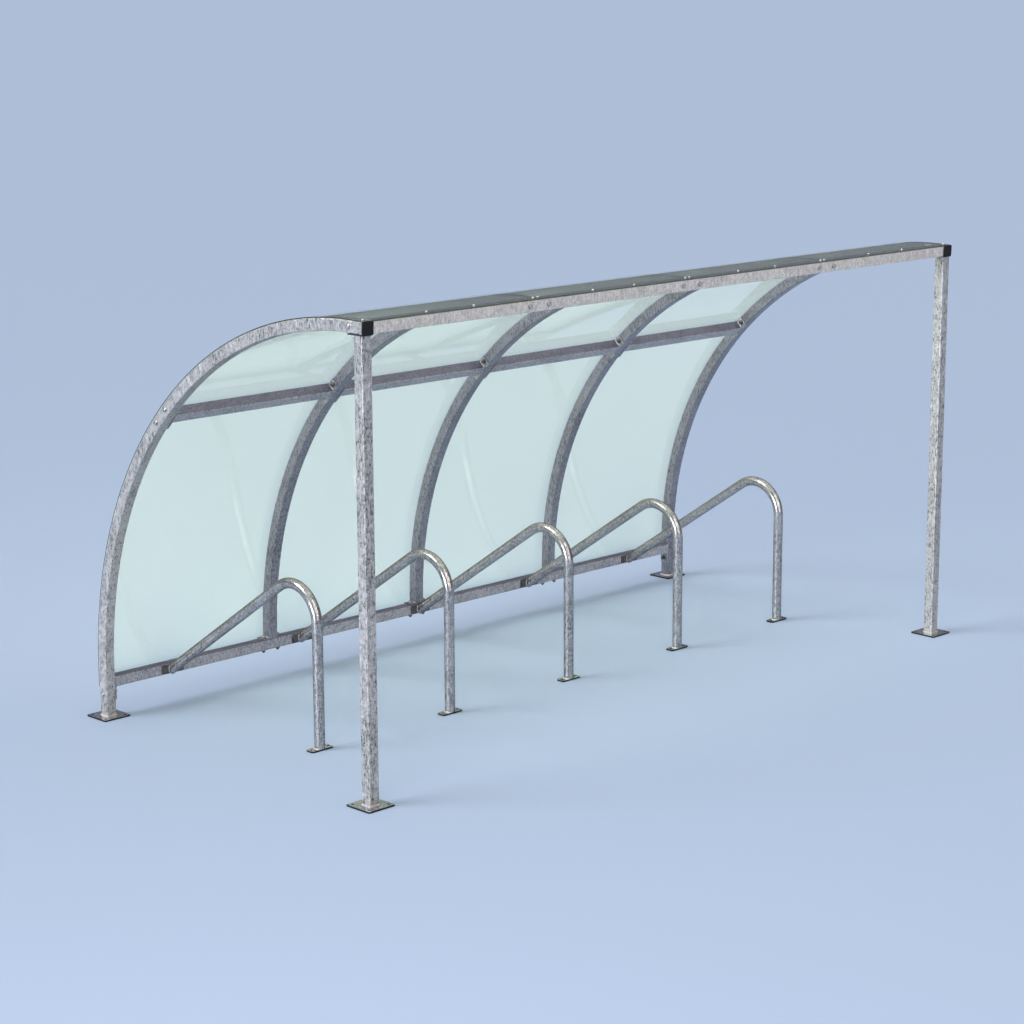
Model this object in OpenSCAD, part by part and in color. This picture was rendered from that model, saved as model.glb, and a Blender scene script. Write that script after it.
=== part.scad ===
// Cycle shelter: five bent box-section hoops, straight rails, a clear curved
// roof that runs down the back, and a row of bent tube stands for the bicycles.
// Frame: +X along the row, +Y from the open front to the back, +Z up.
// Origin: middle of the footprint, on the floor.

/* [Overall] */
// Length over the outer faces of the two end hoops
length = 4090; // [3300:10:5000]
// Depth from the front of the end caps to the back of the hoops
depth = 1970; // [1600:10:2400]
// Height to the crown of the hoops
height = 2100; // [1700:10:2560]
// Straight part of each end hoop's back leg, below the bend
leg_h = 240; // [215:5:300]

/* [Box section] */
// Side of the square tube of the hoops, posts and rails
box_w = 54; // [40:1:70]
// Outside corner radius of the square tube
box_r = 5; // [2:0.5:8]
// Thickness of the welded flange plates
flange_t = 6; // [4:0.5:10]
// Distance that a flange reaches past the tube it ends
flange_tail = 62; // [50:1:80]
// Distance that a flange stays back from the hoops' outer faces
flange_drop = 3; // [2.5:0.5:6]
// Diameter of the holes for the frame bolts
frame_hole_d = 13; // [9:1:16]

/* [Rails] */
// Height of the underside of the bottom rail above the floor
rail_z = 146; // [130:1:170]
// Angle of the middle rail round the hoop, from the back leg up
mid_angle = 45; // [30:1:60]
// Spacing of the two bolts at each end of a middle rail
mid_bolt_gap = 98; // [94:1:102]
// Spacing of the two bolts in a hoop's foot on the bottom rail
foot_bolt_gap = 92; // [86:1:100]
// Spacing of the two bolts where a hoop meets the front beam
beam_bolt_gap = 116; // [104:1:130]

/* [Base plates] */
// Side of the square base plates
base_w = 150; // [126:1:180]
// Thickness of all base plates
base_t = 8; // [5:0.5:12]
// Spacing of the anchor holes in a square base plate
base_hole_gap = 110; // [96:1:112]
// Diameter of the anchor holes
anchor_d = 14; // [10:1:18]

/* [Front posts] */
// Thickness of the plate on top of a front post
post_top_t = 5; // [3:0.5:8]
// Length of that plate from front to back
post_top_l = 92; // [74:1:110]

/* [End caps] */
// Thickness of the cap's rim in front of the hoop
cap_t = 8; // [5:0.5:12]
// Distance that the rim stands out round the tube
cap_rim = 3; // [1:0.5:5]

/* [Roof sheets] */
// Thickness of the clear sheets
sheet_t = 4; // [2:0.5:8]
// Space between two sheets over a hoop
sheet_joint = 6; // [2:1:10]
// Clearance between a sheet and the frame
seat_gap = 0.3; // [0.1:0.1:0.8]
// Distance from the sheet's lower edge to the underside of the bottom rail
sheet_drop = 6; // [2:1:20]

/* [Stands] */
// Number of stands
stands = 5; // [3:1:5]
// Spacing of the stands along the row
stand_gap = 825; // [600:5:850]
// Outside diameter of the stand tube
stand_d = 50; // [38:0.5:52]
// Height to the top of a stand
stand_h = 785; // [640:5:950]
// Bend radius to the middle of the stand tube
stand_bend = 170; // [130:5:210]
// Distance from the front of the shelter to the middle of the upright leg
stand_y = 806; // [640:1:980]
// Length of a stand's base plate along the row
foot_l = 130; // [114:1:160]
// Width of a stand's base plate
foot_w = 50; // [42:1:64]
// Spacing of the two holes in that plate
foot_hole_gap = 98; // [90:1:100]
// Width of the plate that holds a stand to the bottom rail
bracket_h = 46; // [34:1:50]

/* [Hidden] */
$fn = 48;
bays = 4;
bend_r = height - leg_h;              // outside radius of the hoops
inner_r = bend_r - box_w;             // inside radius of the hoops
axis_y = depth - bend_r;              // centre of the bend, from the front
tube_y = cap_t;                       // front ends of the hoops, beam and posts
back_y = depth - box_w;               // front face of the back legs
hoop_gap = (length - box_w) / bays;   // spacing of the hoops
arc_over = 12;                        // extra degrees that are cut off in front

// Height of a circle of radius r round the bend's axis, at a depth y
function arc_z(r, y) = leg_h + sqrt(r * r - (y - axis_y) * (y - axis_y));
// Left face of hoop k
function hoop_x(k) = k * hoop_gap;

mid_r = bend_r - box_w / 2;                       // centre of the hoop tube
beam_arc = acos((tube_y + box_w / 2 - axis_y) / mid_r);   // angle to the beam
// Front face of the posts, just behind the end cap's lower rim
post_y = axis_y + (inner_r - cap_rim) * cos(beam_arc) - box_w / 2 * sin(beam_arc)
    + seat_gap;
post_top = min(arc_z(inner_r, post_y), arc_z(inner_r, post_y + post_top_l));
rail_top = rail_z + box_w;                        // top of the bottom rail
run_l = length - 2 * box_w - 2 * flange_t;        // beam and bottom rail
bay_l = hoop_gap - box_w - 2 * flange_t;          // middle rail
flange_l = box_w + flange_tail;
stand_c = stand_h - stand_d / 2 - stand_bend;     // centre height of the bend
stand_end_y = back_y - flange_t;                  // where a stand meets its plate
stand_end_z = rail_z + box_w / 2;
stand_lap = 1;                        // slope tube's lap into the bend
stand_run = stand_end_y - stand_y - stand_bend;
stand_fall = stand_c - stand_end_z;
stand_slope = atan(stand_fall / stand_run)
    + asin(stand_bend / sqrt(stand_run * stand_run + stand_fall * stand_fall));
stand_slope_l = sqrt(stand_run * stand_run + stand_fall * stand_fall
    - stand_bend * stand_bend);
function stand_x(i) = length / 2 + (i - (stands - 1) / 2) * stand_gap;

zinc = [0.62, 0.63, 0.64];
dark_zinc = [0.45, 0.46, 0.48];
clear = [0.80, 0.90, 0.88, 0.4];
black = [0.06, 0.06, 0.07];

// ---- shared shapes ----

// Square with rounded corners, lower left corner at the origin
module soft_square(w, h, r) {
    translate([r, 0]) square([w - 2 * r, h]);
    translate([0, r]) square([w, h - 2 * r]);
    for (x = [r, w - r], y = [r, h - r]) translate([x, y]) circle(r);
}

// Plate lying flat with rounded corners, centred in X and Y, base on the floor
module soft_plate(w, h, t, r) {
    linear_extrude(t) translate([-w / 2, -h / 2]) soft_square(w, h, r);
}

// Square tube along +X from the origin
module box_x(l) {
    rotate([90, 0, 90]) linear_extrude(l) soft_square(box_w, box_w, box_r);
}

// Square tube standing on z = 0
module box_z(l) {
    linear_extrude(l) soft_square(box_w, box_w, box_r);
}

// Ring sector in the YZ plane: angle from the back leg, radius, width along X
module bend(a) {
    translate([0, axis_y, leg_h]) rotate([90, 0, 90])
        rotate_extrude(angle = a, $fn = 180)
            translate([inner_r, 0]) soft_square(box_w, box_w, box_r);
}

// Place at angle a round the bend: +Y out from its axis, +Z forward along the hoop
module on_arc(x, a) {
    translate([x, axis_y, leg_h]) rotate([a, 0, 0]) children();
}

// Bent tube of a hoop with its back leg standing at z0, and its front end
// square to the tube at a distance s in front of the beam's middle
module hoop_tube(z0, s) {
    difference() {
        bend(beam_arc + arc_over);
        on_arc(-1, beam_arc) translate([0, 0, s]) cube([box_w + 2, 2 * mid_r, mid_r]);
    }
    translate([0, back_y, z0]) box_z(leg_h - z0);
}

// Flange across the end of a tube along X, longer by a tail with one bolt hole
module tail_flange() {
    difference() {
        cube([flange_t, box_w - flange_drop, flange_l]);
        translate([-1, box_w / 2, flange_tail / 2]) rotate([0, 90, 0])
            cylinder(d = frame_hole_d, h = flange_t + 2);
    }
}

// ---- sub-parts ----

module end_hoop(x) {
    color(zinc) translate([x, 0, 0]) hoop_tube(base_t, box_w / 2);
}

module inner_hoop(k) {
    foot_w_x = foot_bolt_gap + 36;
    head_w_x = beam_bolt_gap + 36;
    color(zinc) translate([hoop_x(k), 0, 0]) {
        hoop_tube(rail_top + flange_t, -box_w / 2 - flange_t);
        // foot on the bottom rail
        difference() {
            translate([(box_w - foot_w_x) / 2, back_y, rail_top])
                cube([foot_w_x, box_w, flange_t]);
            for (s = [-1, 1])
                translate([box_w / 2 + s * foot_bolt_gap / 2, back_y + box_w / 2,
                    rail_top - 1]) cylinder(d = frame_hole_d, h = flange_t + 2);
        }
        // head against the back of the front beam
        on_arc((box_w - head_w_x) / 2, beam_arc)
            translate([0, inner_r, -box_w / 2 - flange_t]) difference() {
                cube([head_w_x, box_w - flange_drop, flange_t]);
                for (s = [-1, 1])
                    translate([(head_w_x + s * beam_bolt_gap) / 2, box_w / 2, -1])
                        cylinder(d = frame_hole_d, h = flange_t + 2);
            }
    }
}

module square_base(x, y) {
    color(zinc) translate([x + box_w / 2, y + box_w / 2, 0]) difference() {
        soft_plate(base_w, base_w, base_t, 6);
        for (sx = [-1, 1], sy = [-1, 1])
            translate([sx * base_hole_gap / 2, sy * base_hole_gap / 2, -1])
                cylinder(d = anchor_d, h = base_t + 2);
    }
}

module front_post(x) {
    color(zinc) translate([x, post_y, base_t])
        box_z(post_top - post_top_t - base_t);
}

module post_top_plate(x) {
    color(dark_zinc) translate([x, post_y, post_top - post_top_t])
        cube([box_w, post_top_l, post_top_t]);
}

module end_cap(x) {
    rim_w = box_w + 2 * cap_rim;
    color(black) on_arc(x, beam_arc)
        translate([-cap_rim, inner_r - cap_rim, box_w / 2]) linear_extrude(cap_t)
            soft_square(rim_w, rim_w, box_r + cap_rim);
}

module front_beam() {
    color(zinc) on_arc(box_w, beam_arc) translate([0, inner_r, 0]) {
        translate([flange_t, 0, -box_w / 2]) box_x(run_l);
        for (x = [0, run_l + flange_t])
            translate([x, 0, -box_w / 2 - flange_tail]) tail_flange();
    }
}

module bottom_rail() {
    color(zinc) {
        translate([box_w + flange_t, back_y, rail_z]) box_x(run_l);
        for (x = [box_w, length - box_w - flange_t])
            translate([x, back_y, rail_z - flange_tail]) tail_flange();
    }
}

module mid_rail(k) {
    plate_l = mid_bolt_gap + 34;
    color(zinc) translate([hoop_x(k) + box_w, axis_y, leg_h])
        rotate([mid_angle, 0, 0]) translate([0, inner_r, 0]) {
            translate([flange_t, 0, -box_w / 2]) box_x(bay_l);
            for (x = [0, bay_l + flange_t]) difference() {
                translate([x, -flange_drop, -plate_l / 2])
                    cube([flange_t, box_w, plate_l]);
                for (s = [-1, 1])
                    translate([x - 1, box_w / 2, s * mid_bolt_gap / 2])
                        rotate([0, 90, 0])
                            cylinder(d = frame_hole_d, h = flange_t + 2);
            }
        }
}

module roof_sheet(k) {
    x0 = k == 0 ? 0 : hoop_x(k) + (box_w + sheet_joint) / 2;
    x1 = k == bays - 1 ? length : hoop_x(k + 1) + (box_w - sheet_joint) / 2;
    low = rail_z + sheet_drop;
    color(clear) {
        difference() {
            translate([x0, axis_y, leg_h]) rotate([90, 0, 90])
                rotate_extrude(angle = beam_arc + arc_over, $fn = 180)
                    translate([bend_r + seat_gap, 0]) square([sheet_t, x1 - x0]);
            on_arc(x0 - 1, beam_arc) translate([0, 0, box_w / 2])
                cube([x1 - x0 + 2, 2 * mid_r, mid_r]);
        }
        translate([x0, depth + seat_gap, low])
            cube([x1 - x0, sheet_t, leg_h - low]);
    }
}

module stand(i) {
    color(zinc) translate([stand_x(i), stand_y, 0]) {
        translate([0, 0, base_t]) cylinder(d = stand_d, h = stand_c - base_t);
        // bend, swept from the top of the leg
        translate([0, stand_bend, stand_c]) mirror([0, 1, 0]) rotate([90, 0, 90])
            rotate_extrude(angle = 90 + stand_slope, $fn = 96)
                translate([stand_bend, 0]) circle(d = stand_d);
        // slope, lapped into the bend and cut upright at the rail's plate
        difference() {
            translate([0, stand_bend, stand_c]) rotate([-stand_slope, 0, 0])
                translate([0, -stand_lap, stand_bend]) rotate([-90, 0, 0])
                    cylinder(d = stand_d - 0.04, h = stand_slope_l + 2 * stand_d);
            translate([-stand_d, stand_end_y - stand_y, -stand_h])
                cube([2 * stand_d, 8 * stand_d, 3 * stand_h]);
        }
    }
}

module stand_foot(i) {
    color(zinc) translate([stand_x(i), stand_y, 0]) difference() {
        soft_plate(foot_l, foot_w, base_t, 12);
        for (s = [-1, 1]) translate([s * foot_hole_gap / 2, 0, -1])
            cylinder(d = anchor_d, h = base_t + 2);
    }
}

module stand_bracket(i) {
    color(dark_zinc) translate([stand_x(i), back_y, stand_end_z])
        rotate([90, 0, 0]) difference() {
            soft_plate(foot_l, bracket_h, flange_t, 6);
            for (s = [-1, 1]) translate([s * foot_hole_gap / 2, 0, -1])
                cylinder(d = frame_hole_d, h = flange_t + 2);
        }
}

// ---- placing: the footprint's middle goes to the origin ----

module placed() {
    translate([-length / 2, -(depth + post_y) / 2, 0]) children();
}

placed() end_hoop(0);  // end_hoop_left
placed() end_hoop(length - box_w);  // end_hoop_right
placed() inner_hoop(1);  // inner_hoop_1
placed() inner_hoop(2);  // inner_hoop_2
placed() inner_hoop(3);  // inner_hoop_3
placed() square_base(0, back_y);  // hoop_base_left
placed() square_base(length - box_w, back_y);  // hoop_base_right
placed() front_post(0);  // front_post_left
placed() front_post(length - box_w);  // front_post_right
placed() square_base(0, post_y);  // post_base_left
placed() square_base(length - box_w, post_y);  // post_base_right
placed() post_top_plate(0);  // post_top_left
placed() post_top_plate(length - box_w);  // post_top_right
placed() end_cap(0);  // end_cap_left
placed() end_cap(length - box_w);  // end_cap_right
placed() front_beam();
placed() bottom_rail();
placed() mid_rail(0);  // mid_rail_1
placed() mid_rail(1);  // mid_rail_2
placed() mid_rail(2);  // mid_rail_3
placed() mid_rail(3);  // mid_rail_4
placed() roof_sheet(0);  // roof_sheet_1
placed() roof_sheet(1);  // roof_sheet_2
placed() roof_sheet(2);  // roof_sheet_3
placed() roof_sheet(3);  // roof_sheet_4
placed() stand(0);  // stand_1
placed() stand(1);  // stand_2
placed() stand(2);  // stand_3
placed() stand(3);  // stand_4
placed() stand(4);  // stand_5
placed() stand_foot(0);  // stand_foot_1
placed() stand_foot(1);  // stand_foot_2
placed() stand_foot(2);  // stand_foot_3
placed() stand_foot(3);  // stand_foot_4
placed() stand_foot(4);  // stand_foot_5
placed() stand_bracket(0);  // stand_bracket_1
placed() stand_bracket(1);  // stand_bracket_2
placed() stand_bracket(2);  // stand_bracket_3
placed() stand_bracket(3);  // stand_bracket_4
placed() stand_bracket(4);  // stand_bracket_5
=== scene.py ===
import bmesh
import bpy
from math import cos, pi, radians, sin, tan
from mathutils import Matrix, Vector


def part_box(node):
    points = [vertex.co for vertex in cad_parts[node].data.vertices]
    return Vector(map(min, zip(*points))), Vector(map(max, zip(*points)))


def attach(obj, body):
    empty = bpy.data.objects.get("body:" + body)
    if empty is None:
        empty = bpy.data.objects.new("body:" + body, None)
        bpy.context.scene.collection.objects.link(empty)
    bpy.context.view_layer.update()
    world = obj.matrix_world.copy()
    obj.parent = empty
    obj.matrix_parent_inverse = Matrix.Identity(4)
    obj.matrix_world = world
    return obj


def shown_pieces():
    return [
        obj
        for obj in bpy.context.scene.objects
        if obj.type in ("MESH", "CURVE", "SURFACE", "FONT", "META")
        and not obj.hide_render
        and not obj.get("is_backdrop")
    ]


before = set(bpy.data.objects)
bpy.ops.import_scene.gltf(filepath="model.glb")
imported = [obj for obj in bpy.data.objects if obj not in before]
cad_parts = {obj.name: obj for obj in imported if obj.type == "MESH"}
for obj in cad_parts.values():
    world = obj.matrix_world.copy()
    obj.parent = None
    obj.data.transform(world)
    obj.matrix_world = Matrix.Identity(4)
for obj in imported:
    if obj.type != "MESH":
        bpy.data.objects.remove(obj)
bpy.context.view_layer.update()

# ---- Bent hoops ----
# Five square steel tubes bent to one radius, welded up and hot-dip galvanised.
# The zinc cools into flat crystals: each has its own grey and its own fine
# feathering, so the tube looks mottled and shines unevenly.


def zinc_crystals():
    """Pattern of galvanised steel, in the metres of the shelter's own frame."""
    group = bpy.data.node_groups.new("zinc_crystals", "ShaderNodeTree")
    for name, value in (("Crystals per metre", 60.0), ("Feathering", 0.55), ("Drips", 0.40),
                        ("Weathering", 0.25), ("Batch", 0.0)):
        socket = group.interface.new_socket(name, in_out="INPUT", socket_type="NodeSocketFloat")
        socket.default_value = value
    for name in ("Tone", "Height"):
        group.interface.new_socket(name, in_out="OUTPUT", socket_type="NodeSocketFloat")
    nodes, link = group.nodes, group.links.new
    given, made = nodes.new("NodeGroupInput"), nodes.new("NodeGroupOutput")
    # each batch takes its own part of the pattern
    place, shift = nodes.new("ShaderNodeTexCoord"), nodes.new("ShaderNodeVectorMath")
    shift.operation = "ADD"
    link(place.outputs["Object"], shift.inputs[0])
    link(given.outputs["Batch"], shift.inputs[1])
    # crystals with ragged borders
    ragged, nudge = nodes.new("ShaderNodeTexNoise"), nodes.new("ShaderNodeVectorMath")
    ragged.inputs["Scale"].default_value = 95.0
    ragged.inputs["Detail"].default_value = 2.0
    link(shift.outputs[0], ragged.inputs["Vector"])
    nudge.operation = "MULTIPLY_ADD"
    nudge.inputs[1].default_value = (0.009, 0.009, 0.009)
    link(ragged.outputs["Color"], nudge.inputs[0])
    link(shift.outputs[0], nudge.inputs[2])
    crystal, own_grey = nodes.new("ShaderNodeTexVoronoi"), nodes.new("ShaderNodeSeparateColor")
    crystal.feature = "SMOOTH_F1"
    crystal.inputs["Smoothness"].default_value = 0.35
    link(nudge.outputs[0], crystal.inputs["Vector"])
    link(given.outputs["Crystals per metre"], crystal.inputs["Scale"])
    link(crystal.outputs["Color"], own_grey.inputs[0])
    # feathers that run a different way in each crystal
    heading, turned = nodes.new("ShaderNodeVectorMath"), nodes.new("ShaderNodeVectorRotate")
    heading.operation = "SCALE"
    heading.inputs["Scale"].default_value = 6.28
    link(crystal.outputs["Color"], heading.inputs[0])
    turned.rotation_type = "EULER_XYZ"
    link(shift.outputs[0], turned.inputs["Vector"])
    link(heading.outputs[0], turned.inputs["Rotation"])
    drawn, feather = nodes.new("ShaderNodeVectorMath"), nodes.new("ShaderNodeTexNoise")
    drawn.operation = "MULTIPLY"
    drawn.inputs[1].default_value = (1.0, 0.28, 0.28)
    link(turned.outputs[0], drawn.inputs[0])
    feather.inputs["Scale"].default_value = 170.0
    feather.inputs["Detail"].default_value = 3.0
    link(drawn.outputs[0], feather.inputs["Vector"])
    feathered = nodes.new("ShaderNodeMix")
    link(given.outputs["Feathering"], feathered.inputs["Factor"])
    link(own_grey.outputs["Red"], feathered.inputs["A"])
    link(feather.outputs["Fac"], feathered.inputs["B"])
    # streaks where the zinc ran down as the work was lifted from the bath
    hung, runs = nodes.new("ShaderNodeVectorMath"), nodes.new("ShaderNodeTexNoise")
    hung.operation = "MULTIPLY"
    hung.inputs[1].default_value = (1.0, 0.75, 0.20)
    link(shift.outputs[0], hung.inputs[0])
    runs.inputs["Scale"].default_value = 190.0
    runs.inputs["Detail"].default_value = 3.0
    link(hung.outputs[0], runs.inputs["Vector"])
    streak, dripped = nodes.new("ShaderNodeMapRange"), nodes.new("ShaderNodeMix")
    streak.inputs["From Min"].default_value, streak.inputs["From Max"].default_value = 0.30, 0.70
    link(runs.outputs["Fac"], streak.inputs["Value"])
    link(given.outputs["Drips"], dripped.inputs["Factor"])
    link(feathered.outputs["Result"], dripped.inputs["A"])
    link(streak.outputs[0], dripped.inputs["B"])
    # broad clouds that weather draws over the crystals
    cloud, clouded = nodes.new("ShaderNodeTexNoise"), nodes.new("ShaderNodeMix")
    cloud.inputs["Scale"].default_value = 5.5
    cloud.inputs["Detail"].default_value = 4.0
    link(shift.outputs[0], cloud.inputs["Vector"])
    link(given.outputs["Weathering"], clouded.inputs["Factor"])
    link(dripped.outputs["Result"], clouded.inputs["A"])
    link(cloud.outputs["Fac"], clouded.inputs["B"])
    link(clouded.outputs["Result"], made.inputs["Tone"])
    link(dripped.outputs["Result"], made.inputs["Height"])
    return group


def galvanised(name, dark, light, shine, crystals, batch=0.0, metal=0.75, bump=0.35, edge_shade=None,
               top_shade=None, rim=(1.0, 1.0, 1.0)):
    """Galvanised finish between a dark and a light grey, shine = (roughness of light, of dark);
    crystals are counted per metre, and rim tints the sheen at grazing angles. An edge grey on
    faces that don't turn up, the flame-cut edges, is their duller cut with painted contact shade;
    a top grey is painted shade multiplied over faces that turn up."""
    finish = bpy.data.materials.new(name)
    finish.use_nodes = True
    nodes, link = finish.node_tree.nodes, finish.node_tree.links.new
    zinc = nodes["Principled BSDF"]
    pattern = nodes.new("ShaderNodeGroup")
    pattern.node_tree = bpy.data.node_groups.get("zinc_crystals") or zinc_crystals()
    pattern.inputs["Crystals per metre"].default_value = crystals
    pattern.inputs["Batch"].default_value = batch
    greys = nodes.new("ShaderNodeValToRGB")
    darkest, lightest = greys.color_ramp.elements
    darkest.position, lightest.position = 0.27, 0.73
    darkest.color, lightest.color = (*dark, 1), (*light, 1)
    link(pattern.outputs["Tone"], greys.inputs[0])
    colour = greys.outputs[0]

    def facing_up(start, full):
        """Mask that grows as the surface turns towards the sky."""
        surface, split = nodes.new("ShaderNodeNewGeometry"), nodes.new("ShaderNodeSeparateXYZ")
        level = nodes.new("ShaderNodeMapRange")
        level.inputs["From Min"].default_value, level.inputs["From Max"].default_value = start, full
        link(surface.outputs["Normal"], split.inputs[0])
        link(split.outputs["Z"], level.inputs["Value"])
        return level.outputs[0]

    # faces that don't turn up take the edge grey: the duller cut, with painted contact shade
    if edge_shade:
        edge_shaded = nodes.new("ShaderNodeMix")
        edge_shaded.data_type = "RGBA"
        edge_shaded.inputs[6].default_value = (*edge_shade, 1)
        link(facing_up(0.55, 0.85), edge_shaded.inputs[0])
        link(colour, edge_shaded.inputs[7])
        colour = edge_shaded.outputs[2]
    # painted shade multiplied over faces that turn up
    if top_shade:
        top_shaded = nodes.new("ShaderNodeMix")
        top_shaded.data_type, top_shaded.blend_type = "RGBA", "MULTIPLY"
        top_shaded.inputs[7].default_value = (*top_shade, 1)
        link(facing_up(0.25, 0.60), top_shaded.inputs[0])
        link(colour, top_shaded.inputs[6])
        colour = top_shaded.outputs[2]
    link(colour, zinc.inputs["Base Color"])
    rough = nodes.new("ShaderNodeMapRange")
    rough.inputs["From Min"].default_value, rough.inputs["From Max"].default_value = 0.25, 0.75
    rough.inputs["To Min"].default_value, rough.inputs["To Max"].default_value = shine[1], shine[0]
    link(pattern.outputs["Tone"], rough.inputs["Value"])
    link(rough.outputs[0], zinc.inputs["Roughness"])
    relief = nodes.new("ShaderNodeBump")
    relief.inputs["Strength"].default_value = bump
    relief.inputs["Distance"].default_value = 0.0007
    link(pattern.outputs["Height"], relief.inputs["Height"])
    link(relief.outputs[0], zinc.inputs["Normal"])
    zinc.inputs["Metallic"].default_value = metal
    zinc.inputs["Specular Tint"].default_value = (*rim, 1)
    return finish


def finish_node(node, finish):
    """Gives a CAD part a finish; its shape stays as designed."""
    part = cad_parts[node]
    if not part.material_slots:
        part.data.materials.append(finish)
    for held in part.material_slots:
        held.material = finish


# bright zinc on the left end hoop, a darker copy on the other four: painted shade, as if all stood in
# the sheets' shadow, with more painted shade over their tops
tube_zinc = galvanised("tube_zinc", dark=(0.095, 0.091, 0.088), light=(0.74, 0.71, 0.685),
                       shine=(0.22, 0.42), crystals=130, metal=0.50, bump=0.6, rim=(0.35, 0.36, 0.38))
shaded_zinc = galvanised("shaded_zinc", dark=(0.070, 0.071, 0.082), light=(0.37, 0.37, 0.43),
                        shine=(0.24, 0.42), crystals=130, batch=1.1, metal=0.40, bump=0.5,
                        top_shade=(0.42, 0.42, 0.50))
hoops = ["end_hoop_left", "inner_hoop_1", "inner_hoop_2", "inner_hoop_3", "end_hoop_right"]
for hoop in hoops:
    finish_node(hoop, tube_zinc if hoop == "end_hoop_left" else shaded_zinc)

leg_top = 0.240                                    # where the hoops start to bend
tube = 0.054                                       # side of the square tube
half = tube / 2
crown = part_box("end_hoop_left")[1].z
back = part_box("end_hoop_left")[1].y                # outer face of the back legs
bend_out = crown - leg_top                         # outer radius of the bend
bend_mid = bend_out - half
bend_in = bend_out - tube
axis_y = back - bend_out                           # the bend's axis, level with leg_top


def on_arc(x, radius, angle, forward=0.0):
    """Point at an angle round the hoops' bend, and the two directions there."""
    out = Vector((0, cos(angle), sin(angle)))
    along = Vector((0, -sin(angle), cos(angle)))
    return Vector((x, axis_y, leg_top)) + out * radius + along * forward, out, along


# ---- Base plates and welds ----
# Flame-cut 8 mm steel plates under the end hoops and the front posts, welded
# all round the tube before galvanising. The zinc lies thicker over the bead.

# the near-black grey on the plates' upright edges is mostly painted contact shade
plate_zinc = galvanised("plate_zinc", dark=(0.42, 0.42, 0.43), light=(0.88, 0.88, 0.90),
                        shine=(0.10, 0.20), crystals=90, batch=3.1, metal=0.9, bump=0.15,
                        edge_shade=(0.035, 0.036, 0.04))
weld_zinc = galvanised("weld_zinc", dark=(0.22, 0.215, 0.21), light=(0.60, 0.58, 0.56),
                       shine=(0.28, 0.45), crystals=150, batch=5.7, metal=0.6, bump=0.5)
bases = ["hoop_base_left", "hoop_base_right", "post_base_left", "post_base_right"]
for base in bases:
    finish_node(base, plate_zinc)


def piece(name, mesh, finish, smooth=40):
    """Makes a named piece of a finished bmesh, shaded smooth up to an edge angle."""
    bmesh.ops.recalc_face_normals(mesh, faces=mesh.faces)
    for face in mesh.faces:
        face.smooth = True
    for edge in mesh.edges:
        edge.smooth = edge.is_manifold and edge.calc_face_angle(0) < radians(smooth)
    data = bpy.data.meshes.new(name)
    mesh.to_mesh(data)
    mesh.free()
    made = bpy.data.objects.new(name, data)
    bpy.context.scene.collection.objects.link(made)
    made.data.materials.append(finish)
    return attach(made, "root")


ripple = 0.0042                                    # from one ripple of the weld to the next
thin_end = 0.35                                    # how thin a run of weld starts and stops
fillet = ((-0.12, -0.12), (1.0, -0.12), (0.93, 0.22), (0.72, 0.55),
          (0.50, 0.76), (0.20, 0.94), (-0.12, 1.0))   # its section, in shares of its leg


def bead(mesh, path, outs, ups, leg=0.0055, closed=False):
    """Fillet weld along a path in a corner: outs lead away over the plate, ups along the tube."""
    count, run, rings = len(path), 0.0, []
    for i, spot in enumerate(path):
        run += (spot - path[i - 1]).length if i else 0.0
        size = leg * (1 + 0.10 * sin(run * 2 * pi / ripple) + 0.07 * sin(run * 171 + 1.3))
        if not closed:
            size *= max(thin_end, min(1.0, 3 * min(i, count - 1 - i) / count + thin_end))
        rings.append([mesh.verts.new(spot + outs[i] * over * size + ups[i] * rise * size)
                      for over, rise in fillet])
    for i in range(count if closed else count - 1):
        this, following = rings[i], rings[(i + 1) % count]
        for j in range(len(fillet)):
            k = (j + 1) % len(fillet)
            mesh.faces.new((this[j], this[k], following[k], following[j]))
    if not closed:
        mesh.faces.new(rings[0])
        mesh.faces.new(rings[-1][::-1])


def round_tube_foot(middle, floor, reach, corner, steps=26, turn=8):
    """Points and outward directions round a square tube's foot with rounded corners."""
    spots, outs = [], []
    for quarter, (sx, sy) in enumerate(((1, 1), (-1, 1), (-1, -1), (1, -1))):
        start = quarter * pi / 2
        centre = Vector((middle.x + sx * (reach - corner), middle.y + sy * (reach - corner), floor))
        for i in range(turn):
            angle = start + pi / 2 * i / turn
            out = Vector((cos(angle), sin(angle), 0))
            spots.append(centre + out * corner)
            outs.append(out)
        out = Vector((cos(start + pi / 2), sin(start + pi / 2), 0))
        along = Vector((-out.y, out.x, 0))
        first = centre + out * corner
        for i in range(steps):
            spots.append(first + along * (2 * (reach - corner)) * i / steps)
            outs.append(out)
    return spots, outs


tube_corner = 0.005                                # radius of the tube's corners
for base in bases:
    low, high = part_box(base)
    mesh = bmesh.new()
    spots, outs = round_tube_foot((low + high) / 2, high.z, half, tube_corner)
    bead(mesh, spots, outs, [Vector((0, 0, 1))] * len(spots), closed=True)
    piece(base + "_weld", mesh, weld_zinc)


# ---- Front posts and their top plates ----
# Straight lengths of the same tube on the front base plates. A thin plate is
# welded on each, and the end hoop's front end rests on it.

dark_zinc = galvanised("dark_zinc", dark=(0.04, 0.04, 0.042), light=(0.17, 0.167, 0.165),
                       shine=(0.34, 0.5), crystals=110, batch=8.2, metal=0.5)
for side in ("left", "right"):
    finish_node("front_post_" + side, tube_zinc)
    finish_node("post_top_" + side, dark_zinc)


# ---- Front beam and rails ----
# Straight lengths of tube with a welded flange at each end. The beam is turned
# with the hoops' bend, and its zinc is warmer and brighter than the rails'.

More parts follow.
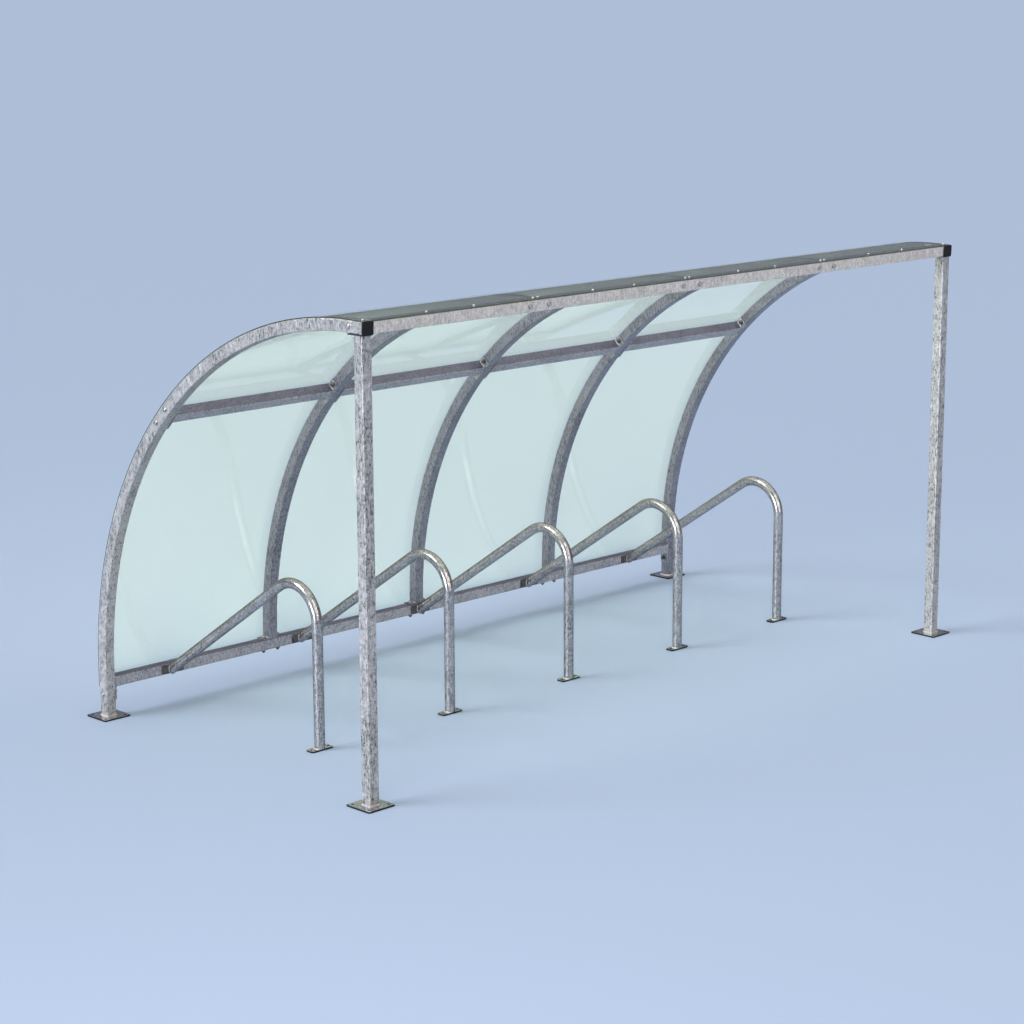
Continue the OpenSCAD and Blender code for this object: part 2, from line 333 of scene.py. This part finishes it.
# the beam and the rails get painted shade over their top faces, the beam's nearly black
beam_zinc = galvanised("beam_zinc", dark=(0.38, 0.352, 0.325), light=(0.84, 0.785, 0.73),
                       shine=(0.36, 0.52), crystals=120, batch=1.7, metal=0.25,
                       top_shade=(0.10, 0.105, 0.125))
rail_zinc = galvanised("rail_zinc", dark=(0.145, 0.143, 0.155), light=(0.55, 0.54, 0.58),
                       shine=(0.30, 0.48), crystals=120, batch=4.4, metal=0.35,
                       top_shade=(0.31, 0.30, 0.42))
finish_node("front_beam", beam_zinc)
finish_node("bottom_rail", rail_zinc)
bays = (1, 2, 3, 4)
for bay in bays:
    finish_node(f"mid_rail_{bay}", rail_zinc)


def flange_bead(mesh, start, end, out, up, steps=34):
    """One straight run of weld between a tube's face and its flange."""
    path = [start.lerp(end, i / (steps - 1)) for i in range(steps)]
    bead(mesh, path, [out] * steps, [up] * steps, leg=0.005)


across, upward = Vector((1, 0, 0)), Vector((0, 0, 1))
inset = 0.007                                      # from a tube's corner to the weld's end
flange = 0.006                                     # thickness of the flanges
rail_low, rail_top = 0.146, 0.146 + tube           # bottom rail's underside and top
beam_angle, mid_angle = radians(92.345), radians(45)
end_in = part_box("end_hoop_right")[0].x             # inner side of an end hoop
hoop_xs = [sum(corner.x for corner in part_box(hoop)) / 2 for hoop in hoops]

mesh = bmesh.new()
for side in (-1, 1):                               # bottom rail's and beam's end plates
    x = side * (end_in - flange)
    flange_bead(mesh, Vector((x, back - tube + inset, rail_low)), Vector((x, back - inset, rail_low)),
                -upward, across * -side)
    start, _, along = on_arc(x, bend_in + inset, beam_angle, -half)
    end = on_arc(x, bend_out - inset, beam_angle, -half)[0]
    flange_bead(mesh, start, end, -along, across * -side)
for left, right in zip(hoop_xs, hoop_xs[1:]):      # both flanges of each middle rail
    for x, side in ((left + half + flange, 1), (right - half - flange, -1)):
        for way in (-1, 1):
            start, _, along = on_arc(x, bend_in + inset, mid_angle, way * half)
            end = on_arc(x, bend_out - inset, mid_angle, way * half)[0]
            flange_bead(mesh, start, end, along * way, across * side)
for x in hoop_xs[1:-1]:                            # feet and heads of the inner hoops
    for side in (-1, 1):
        foot = Vector((x + side * half, back, rail_top + flange))
        flange_bead(mesh, foot - Vector((0, tube - inset, 0)), foot - Vector((0, inset, 0)),
                    across * side, upward)
        start, _, along = on_arc(x + side * half, bend_in + inset, beam_angle, -half - flange)
        end = on_arc(x + side * half, bend_out - inset, beam_angle, -half - flange)[0]
        flange_bead(mesh, start, end, across * side, -along)
piece("flange_welds", mesh, weld_zinc)


# ---- Frame bolts ----
# M12 zinc-plated steel bolts through tube and flange, with a washer under the
# head and under the nut. The thread ends just past the nut.

bolt_zinc = galvanised("bolt_zinc", dark=(0.32, 0.315, 0.31), light=(0.66, 0.65, 0.64),
                       shine=(0.18, 0.30), crystals=260, batch=2.2, metal=0.9, bump=0.15)
# nuts, their washers and threads take a much darker copy of the bolts' zinc: painted shade
shaded_nut_zinc = galvanised("shaded_nut_zinc", dark=(0.05, 0.05, 0.052), light=(0.18, 0.178, 0.175),
                      shine=(0.26, 0.40), crystals=260, batch=7.3, metal=0.8, bump=0.2)
head_flats, head_high = 0.0185, 0.0075
chamfer_round = head_flats * 0.475                 # radius of the face that the chamfer leaves
washer_wide, washer_high = 0.024, 0.0025
nut_high, thread_past = 0.0105, 0.006
thread_root, thread_crest, thread_pitch = 0.0052, 0.0060, 0.00135
sunk = -0.0002                                     # each layer starts just inside the one below


def stack(mesh, spot, toward, levels, sides=36):
    """Joins rings (radius or radius by angle, height or height by angle) into a closed solid."""
    turn = toward.to_track_quat("Z", "Y").to_matrix()
    rings = []
    for radius, height in levels:
        ring = []
        for i in range(sides):
            angle = 2 * pi * i / sides
            r = radius(angle) if callable(radius) else radius
            h = height(angle) if callable(height) else height
            ring.append(mesh.verts.new(spot + turn @ Vector((r * cos(angle), r * sin(angle), h))))
        rings.append(ring)
    for below, above in zip(rings, rings[1:]):
        for i in range(sides):
            j = (i + 1) % sides
            mesh.faces.new((below[i], below[j], above[j], above[i]))
    mesh.faces.new(rings[0][::-1])
    mesh.faces.new(rings[-1])


def hex_radius(angle, inner=head_flats / 2):
    """Distance from the middle of a hexagon to its side at an angle."""
    return inner / cos((angle + pi / 6) % (pi / 3) - pi / 6)


def chamfer(angle):
    """How far the turned chamfer cuts down a corner of the hexagon."""
    return max(0.0, hex_radius(angle) - chamfer_round) * tan(radians(30))


def washer(mesh, spot, toward, broken=0.0004):
    """Flat washer with broken edges; returns the seat on top of it."""
    radius = washer_wide / 2
    stack(mesh, spot, toward, [(radius - broken, sunk), (radius, broken),
                               (radius, washer_high - broken), (radius - broken, washer_high)])
    return spot + toward * washer_high


def hex_head(mesh, spot, toward):
    """Bolt head on its washer: chamfered corners and a shallow dished top."""
    seat = washer(mesh, spot, toward)
    stack(mesh, seat, toward, [
        (hex_radius, sunk), (hex_radius, lambda angle: head_high - chamfer(angle)),
        (chamfer_round, head_high), (head_flats * 0.33, head_high),
        (head_flats * 0.30, head_high - 0.0005)])


def nut(mesh, spot, toward):
    """Nut on its washer, chamfered both ends, with the bolt's thread standing past it."""
    before = len(mesh.faces)
    seat = washer(mesh, spot, toward)
    stack(mesh, seat, toward, [
        (chamfer_round, sunk), (hex_radius, chamfer),
        (hex_radius, lambda angle: nut_high - chamfer(angle)), (chamfer_round, nut_high),
        (0.0066, nut_high), (0.0064, nut_high - 0.0008)])
    levels = [(thread_root, nut_high - 0.0012)]
    for i in range(4):
        levels += [(thread_root, nut_high + thread_pitch * i),
                   (thread_crest, nut_high + thread_pitch * (i + 0.5))]
    levels += [(thread_root, nut_high + thread_past - 0.0004), (0.0044, nut_high + thread_past)]
    stack(mesh, seat, toward, levels, 24)
    mesh.faces.ensure_lookup_table()
    # the nut's faces take the second finish, the zinc with painted shade
    for face in mesh.faces[before:]:
        face.material_index = 1


def through_bolt(mesh, head_spot, nut_spot):
    """A bolt with its head at one spot and its nut at the other."""
    toward = (head_spot - nut_spot).normalized()
    hex_head(mesh, head_spot, toward)
    nut(mesh, nut_spot, -toward)


end_bolt = 0.031                                   # from a tube to the bolt in its end plate
mid_bolt = 0.049                                   # each side of a middle rail's centre line
foot_bolt, head_bolt = 0.046, 0.058                # each side of an inner hoop's centre line
for side, hoop in ((-1, "left"), (1, "right")):
    mesh = bmesh.new()
    outer, inner = side * (end_in + tube), side * (end_in - flange)
    spots = [on_arc(0, bend_mid, beam_angle, -half - end_bolt)[0],
             Vector((0, back - half, rail_low - end_bolt))]
    spots += [on_arc(0, bend_mid, mid_angle, way * mid_bolt)[0] for way in (-1, 1)]
    for spot in spots:
        through_bolt(mesh, spot + across * outer, spot + across * inner)
    bolts = piece("frame_bolts_" + hoop, mesh, bolt_zinc)
    bolts.data.materials.append(shaded_nut_zinc)
for number, x in enumerate(hoop_xs[1:-1], 1):
    mesh = bmesh.new()
    for way in (-1, 1):
        spot = on_arc(x, bend_mid, mid_angle, way * mid_bolt)[0]
        through_bolt(mesh, spot + across * (half + flange), spot - across * (half + flange))
        foot = Vector((x + way * foot_bolt, back - half, 0))
        through_bolt(mesh, foot + upward * (rail_top + flange), foot + upward * rail_low)
        head, _, along = on_arc(x + way * head_bolt, bend_mid, beam_angle, half)
        through_bolt(mesh, head, head - along * (tube + flange))
    bolts = piece(f"frame_bolts_{number}", mesh, bolt_zinc)
    bolts.data.materials.append(shaded_nut_zinc)


# ---- End caps ----
# Moulded caps of black plastic, pushed into the front ends of the two end
# hoops to keep the rain out. Their skin has a fine, dull grain.

cap_black = bpy.data.materials.new("cap_black")
cap_black.use_nodes = True
nodes, link = cap_black.node_tree.nodes, cap_black.node_tree.links.new
plastic = nodes["Principled BSDF"]
plastic.inputs["Base Color"].default_value = (0.008, 0.008, 0.008, 1)
plastic.inputs["Specular IOR Level"].default_value = 0.25
cap_place, grain = nodes.new("ShaderNodeTexCoord"), nodes.new("ShaderNodeTexNoise")
grain.inputs["Scale"].default_value = 900
link(cap_place.outputs["Object"], grain.inputs["Vector"])
dullness = nodes.new("ShaderNodeMapRange")
dullness.inputs["To Min"].default_value, dullness.inputs["To Max"].default_value = 0.48, 0.66
link(grain.outputs["Fac"], dullness.inputs["Value"])
link(dullness.outputs[0], plastic.inputs["Roughness"])
for side in ("left", "right"):
    finish_node("end_cap_" + side, cap_black)


# ---- Roof sheets ----
# Clear plastic 4 mm thick with a pale green tint, one sheet to a bay. Each was
# cut flat and bent cold over the hoops; its sawn edges take a dark tint, painted shade.

clear_green = bpy.data.materials.new("clear_green")
clear_green.use_nodes = True
nodes, link = clear_green.node_tree.nodes, clear_green.node_tree.links.new
pane = nodes["Principled BSDF"]
pane.inputs["IOR"].default_value = 1.38
pane.inputs["Transmission Weight"].default_value = 0.96
# straight out from the bend's axis, and level where the sheet runs straight down below the bend
sheet_place, sheet_split = nodes.new("ShaderNodeTexCoord"), nodes.new("ShaderNodeSeparateXYZ")
link(sheet_place.outputs["Object"], sheet_split.inputs[0])
from_axis, height, above_legs = (nodes.new("ShaderNodeMath") for _ in range(3))
from_axis.operation, height.operation, above_legs.operation = "SUBTRACT", "MAXIMUM", "SUBTRACT"
from_axis.inputs[1].default_value = axis_y
height.inputs[1].default_value = leg_top
above_legs.inputs[1].default_value = leg_top
link(sheet_split.outputs["Y"], from_axis.inputs[0])
link(sheet_split.outputs["Z"], height.inputs[0])
link(height.outputs[0], above_legs.inputs[0])
bend, outward = nodes.new("ShaderNodeCombineXYZ"), nodes.new("ShaderNodeVectorMath")
outward.operation = "NORMALIZE"
link(from_axis.outputs[0], bend.inputs["Y"])
link(above_legs.outputs[0], bend.inputs["Z"])
link(bend.outputs[0], outward.inputs[0])
# sawn edges: where the surface faces neither the bend's axis nor away from it
surface, squareness = nodes.new("ShaderNodeNewGeometry"), nodes.new("ShaderNodeVectorMath")
squareness.operation = "DOT_PRODUCT"
link(outward.outputs[0], squareness.inputs[0])
link(surface.outputs["Normal"], squareness.inputs[1])
either_side, broad_face = nodes.new("ShaderNodeMath"), nodes.new("ShaderNodeMapRange")
either_side.operation = "ABSOLUTE"
link(squareness.outputs["Value"], either_side.inputs[0])
link(either_side.outputs[0], broad_face.inputs["Value"])
broad_face.inputs["From Min"].default_value, broad_face.inputs["From Max"].default_value = 0.45, 0.75
# a tint that drifts with the sheet's thickness
drift, shade = nodes.new("ShaderNodeTexNoise"), nodes.new("ShaderNodeValToRGB")
drift.inputs["Scale"].default_value = 1.6
link(sheet_place.outputs["Object"], drift.inputs["Vector"])
shade.color_ramp.elements[0].color = (0.938, 0.996, 0.900, 1)
shade.color_ramp.elements[1].color = (0.956, 1.0, 0.922, 1)
link(drift.outputs["Fac"], shade.inputs[0])
# sawn edges take a dark grey-green: painted shade
tint_and_edge_shade = nodes.new("ShaderNodeMix")
tint_and_edge_shade.data_type = "RGBA"
tint_and_edge_shade.inputs[6].default_value = (0.24, 0.30, 0.285, 1)
link(broad_face.outputs[0], tint_and_edge_shade.inputs[0])
link(shade.outputs[0], tint_and_edge_shade.inputs[7])
link(tint_and_edge_shade.outputs[2], pane.inputs["Base Color"])
# a very fine haze with a few wiped streaks
drawn, wiped = nodes.new("ShaderNodeMapping"), nodes.new("ShaderNodeTexNoise")
drawn.inputs["Scale"].default_value = (9.0, 1.2, 1.2)
link(sheet_place.outputs["Object"], drawn.inputs["Vector"])
wiped.inputs["Scale"].default_value = 3.0
wiped.inputs["Detail"].default_value = 6.0
link(drawn.outputs[0], wiped.inputs["Vector"])
haze = nodes.new("ShaderNodeMapRange")
haze.inputs["To Min"].default_value, haze.inputs["To Max"].default_value = 0.025, 0.065
link(wiped.outputs["Fac"], haze.inputs["Value"])
link(haze.outputs[0], pane.inputs["Roughness"])
# the sheets throw only a light shadow
through, ray = nodes.new("ShaderNodeBsdfTransparent"), nodes.new("ShaderNodeLightPath")
through.inputs[0].default_value = (0.86, 0.86, 0.86, 1)
either = nodes.new("ShaderNodeMixShader")
link(ray.outputs["Is Shadow Ray"], either.inputs[0])
link(pane.outputs[0], either.inputs[1])
link(through.outputs[0], either.inputs[2])
link(either.outputs[0], nodes["Material Output"].inputs[0])
for bay in bays:
    finish_node(f"roof_sheet_{bay}", clear_green)


# ---- Sheet screws ----
# Stainless pan-head screws hold the sheets down to the hoops, the beam and the
# rails. A metal-backed rubber washer under each keeps the hole dry.

screw_steel = galvanised("screw_steel", dark=(0.75, 0.75, 0.76), light=(0.95, 0.95, 0.95),
                         shine=(0.10, 0.18), crystals=400, batch=9.4, metal=1.0, bump=0.05)
seal_black = bpy.data.materials.new("seal_black")
seal_black.use_nodes = True
nodes, link = seal_black.node_tree.nodes, seal_black.node_tree.links.new
seal_place, bloom = nodes.new("ShaderNodeTexCoord"), nodes.new("ShaderNodeTexNoise")
rubber_greys = nodes.new("ShaderNodeValToRGB")
bloom.inputs["Scale"].default_value = 700
link(seal_place.outputs["Object"], bloom.inputs["Vector"])
rubber_greys.color_ramp.elements[0].color = (0.012, 0.012, 0.013, 1)
rubber_greys.color_ramp.elements[1].color = (0.035, 0.035, 0.037, 1)
link(bloom.outputs["Fac"], rubber_greys.inputs[0])
link(rubber_greys.outputs[0], nodes["Principled BSDF"].inputs["Base Color"])
nodes["Principled BSDF"].inputs["Roughness"].default_value = 0.7
sheet_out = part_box("roof_sheet_1")[1].y - axis_y   # radius of the sheets' outer face
hoop_rows = (radians(69.5), radians(21))           # rows with a screw on each hoop only
cross_rows = ((beam_angle, (0.0, 0.36, 0.64, 1.0)), (mid_angle, (0.33, 0.67)))
foot_stops = (0.0, 0.33, 0.67, 1.0)                # shares of the way across the bay
foot_row = rail_low + 0.034
hoop_inset = 0.015                                 # from an inner hoop's centre line


def socket_radius(angle):
    """Radius of the hexagon socket in a screw's head at an angle."""
    return hex_radius(angle, 0.0021)


def pan_screw(metal, seal, spot, toward):
    """Domed head with a hexagon socket on a metal-backed rubber washer."""
    stack(seal, spot, toward, [(0.0070, 0.0), (0.0076, 0.0006), (0.0072, 0.0012)], 28)
    stack(metal, spot, toward, [
        (0.0074, 0.0011), (0.0076, 0.0014), (0.0072, 0.0018), (0.0061, 0.0019), (0.0061, 0.0026),
        (0.0056, 0.0037), (0.0045, 0.0045), (0.0030, 0.0049), (socket_radius, 0.0049),
        (socket_radius, 0.0030)], 30)


for bay, left, right in zip(bays, hoop_xs, hoop_xs[1:]):
    metal, seal = bmesh.new(), bmesh.new()
    first = left + (hoop_inset if bay > 1 else 0.0)
    last = right - (hoop_inset if bay < 4 else 0.0)
    for angle in hoop_rows:
        for x in (first, last):
            spot, out, _ = on_arc(x, sheet_out, angle)
            pan_screw(metal, seal, spot, out)
    for angle, stops in cross_rows:
        for stop in stops:
            spot, out, _ = on_arc(first + (last - first) * stop, sheet_out, angle)
            pan_screw(metal, seal, spot, out)
    for stop in foot_stops:
        spot = Vector((first + (last - first) * stop, axis_y + sheet_out, foot_row))
        pan_screw(metal, seal, spot, Vector((0, 1, 0)))
    piece(f"sheet_screws_{bay}", metal, screw_steel, 50)
    piece(f"screw_seals_{bay}", seal, seal_black)


# ---- Cycle stands ----
# Round tube bent over to the bottom rail. In front it stands on its own foot,
# and behind it is welded to a small plate that is bolted to the rail.

stand_zinc = galvanised("stand_zinc", dark=(0.10, 0.098, 0.098), light=(0.66, 0.64, 0.63),
                        shine=(0.13, 0.27), crystals=130, batch=6.3, metal=0.82, bump=0.32,
                        rim=(0.22, 0.23, 0.25))
stands = (1, 2, 3, 4, 5)
for stand in stands:
    finish_node(f"stand_{stand}", stand_zinc)
    finish_node(f"stand_foot_{stand}", plate_zinc)
    finish_node(f"stand_bracket_{stand}", dark_zinc)


def arc_beads(mesh, centre, wide, tall, wide_reach, tall_reach, up, spread, steps=40):
    """Two beads on the left and right of a round tube cut to an oval of two reaches."""
    for start in (0.0, pi):
        spots, outs = [], []
        for i in range(steps):
            angle = start - spread + 2 * spread * i / (steps - 1)
            spots.append(centre + wide * wide_reach * cos(angle) + tall * tall_reach * sin(angle))
            outs.append((wide * tall_reach * cos(angle) + tall * wide_reach * sin(angle)).normalized())
        bead(mesh, spots, outs, [up] * steps, leg=0.005)


stand_slope = radians(33.63)                       # of the tube behind its bend
bracket_bolt = 0.049                               # each side of the stand
toward_back, toward_front = Vector((0, 1, 0)), Vector((0, -1, 0))
for stand in stands:
    mesh = bmesh.new()
    low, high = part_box(f"stand_{stand}")
    x, radius = (low.x + high.x) / 2, (high.x - low.x) / 2
    foot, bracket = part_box(f"stand_foot_{stand}"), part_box(f"stand_bracket_{stand}")
    leg = Vector((x, (foot[0].y + foot[1].y) / 2, foot[1].z))
    arc_beads(mesh, leg, across, toward_back, radius, radius, upward, radians(56))
    joint = Vector((x, bracket[0].y, (bracket[0].z + bracket[1].z) / 2))
    arc_beads(mesh, joint, across, upward, radius, radius / cos(stand_slope), toward_front,
              radians(38))
    piece(f"stand_welds_{stand}", mesh, weld_zinc)
    mesh = bmesh.new()
    for way in (-1, 1):
        hex_head(mesh, joint + across * way * bracket_bolt, toward_front)
    piece(f"stand_bolts_{stand}", mesh, dark_zinc)


# ---- Studio ----
# A wide pale floor and backdrop, one broad soft light from behind on the left,
# an even sky-like fill, and softboxes that light only the pieces named for them.

floor_mesh = bpy.data.meshes.new("studio_floor")
floor_reach = 3000.0
floor_mesh.from_pydata([(-floor_reach, -floor_reach, 0), (floor_reach, -floor_reach, 0),
                        (floor_reach, floor_reach, 0), (-floor_reach, floor_reach, 0)],
                       [], [(0, 1, 2, 3)])
floor = bpy.data.objects.new("studio_floor", floor_mesh)
bpy.context.scene.collection.objects.link(floor)
floor_paint = bpy.data.materials.new("floor_paint")
floor_paint.use_nodes = True
paint = floor_paint.node_tree.nodes["Principled BSDF"]
paint.inputs["Base Color"].default_value = (0.433, 0.525, 0.686, 1)
paint.inputs["Roughness"].default_value = 0.7
paint.inputs["Specular IOR Level"].default_value = 0.1
floor.data.materials.append(floor_paint)
floor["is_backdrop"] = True

studio = bpy.data.worlds.new("studio")
studio.use_nodes = True
bpy.context.scene.world = studio
nodes, link = studio.node_tree.nodes, studio.node_tree.links.new
direction, height_of = nodes.new("ShaderNodeTexCoord"), nodes.new("ShaderNodeSeparateXYZ")
link(direction.outputs["Generated"], height_of.inputs[0])
sky = nodes.new("ShaderNodeValToRGB")
low_grey, low_sky_end, high_sky_start = (0.12, 0.14, 0.18, 1), 0.32, 0.85
sky.color_ramp.elements[0].position, sky.color_ramp.elements[1].position = 0.0, high_sky_start
sky.color_ramp.elements[0].color = low_grey
sky.color_ramp.elements[1].color = (1.0, 1.0, 1.0, 1)
sky.color_ramp.elements.new(low_sky_end).color = low_grey
link(height_of.outputs["Z"], sky.inputs[0])
backdrop, seen = nodes.new("ShaderNodeMix"), nodes.new("ShaderNodeLightPath")
backdrop.data_type = "RGBA"
backdrop.inputs[7].default_value = (0.452, 0.553, 0.735, 1)
link(seen.outputs["Is Camera Ray"], backdrop.inputs[0])
link(sky.outputs[0], backdrop.inputs[6])
link(backdrop.outputs[2], nodes["Background"].inputs["Color"])
nodes["Background"].inputs["Strength"].default_value = 0.97


def sun(name, toward, strength, spread, colour):
    """Broad distant light that comes from a direction."""
    lamp = bpy.data.lights.new(name, "SUN")
    lamp.energy, lamp.angle, lamp.color = strength, radians(spread), colour
    held = bpy.data.objects.new(name, lamp)
    held.rotation_mode = "QUATERNION"
    held.rotation_quaternion = Vector(toward).to_track_quat("Z", "Y")
    bpy.context.scene.collection.objects.link(held)
    return held


def lit_only(lamp, lit_pieces, blockers=()):
    """Lets a lamp light only these pieces, with shadows thrown by the blockers if any are given."""
    for use, group in (("lights", lit_pieces), ("blocked", blockers)):
        if group:
            chosen = bpy.data.collections.new(f"{lamp.name}_{use}")
            for lit_piece in group:
                chosen.objects.link(lit_piece)
            if use == "lights":
                lamp.light_linking.receiver_collection = chosen
            else:
                lamp.light_linking.blocker_collection = chosen


sun("key_light", (-0.70, 0.36, 0.74), 1.6, 30, (0.97, 0.98, 1.0))
sheets = [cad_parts[f"roof_sheet_{bay}"] for bay in bays]
steel = [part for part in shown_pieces() if part not in sheets]
lit_only(sun("sheet_fill", (0.0, -0.75, -0.60), 9.0, 100, (0.96, 1.0, 0.72)), sheets, steel + sheets)
lit_only(sun("front_fill", (-0.15, -0.90, 0.42), 1.4, 60, (1.0, 0.94, 0.88)), steel)
shaded = [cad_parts[name] for name in hoops[1:] + ["post_top_left", "post_top_right", "bottom_rail"]
          + [f"mid_rail_{bay}" for bay in bays]]
lit_only(sun("left_softbox", (-0.95, 0.0, 0.08), 2.8, 14, (0.85, 0.91, 1.0)),
         [part for part in steel if part not in shaded], steel)
bent_tubes = [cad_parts[f"stand_{stand}"] for stand in stands]
lit_only(sun("low_strip", (-0.93, 0.0, -0.24), 0.8, 14, (0.90, 0.94, 1.0)), bent_tubes, steel)

near_softbox = bpy.data.lights.new("near_softbox", "AREA")
near_softbox.energy, near_softbox.size = 130.0, 4.0
near_box = bpy.data.objects.new("near_softbox", near_softbox)
near_box.location = (-7.4, -4.4, 4.6)
near_box.rotation_mode = "QUATERNION"
near_box.rotation_quaternion = Vector((-2.2, 0.6, 4.6)).to_track_quat("Z", "Y")
near_box.visible_camera = False
lit_only(near_box, [floor])
bpy.context.scene.collection.objects.link(near_box)

camera = bpy.data.cameras.new("camera")
camera.lens, camera.sensor_width = 87.64, 36
camera.clip_start, camera.clip_end = 0.1, 5000
viewer = bpy.data.objects.new("camera", camera)
azimuth, elevation, roll = radians(-44.6), radians(12.13), radians(-0.28)
behind = Vector((sin(azimuth) * cos(elevation), -cos(azimuth) * cos(elevation), sin(elevation)))
level_right = (-behind).cross(upward).normalized()
view_right = level_right * cos(roll) + behind.cross(level_right) * sin(roll)
view_up = behind.cross(view_right)
viewer.rotation_mode = "QUATERNION"
viewer.rotation_quaternion = Matrix((view_right, view_up, behind)).transposed().to_quaternion()
viewer.location = (-8.752, -8.656, 3.485)
bpy.context.scene.collection.objects.link(viewer)
bpy.context.scene.camera = viewer
bpy.context.scene.view_settings.view_transform = "Standard"
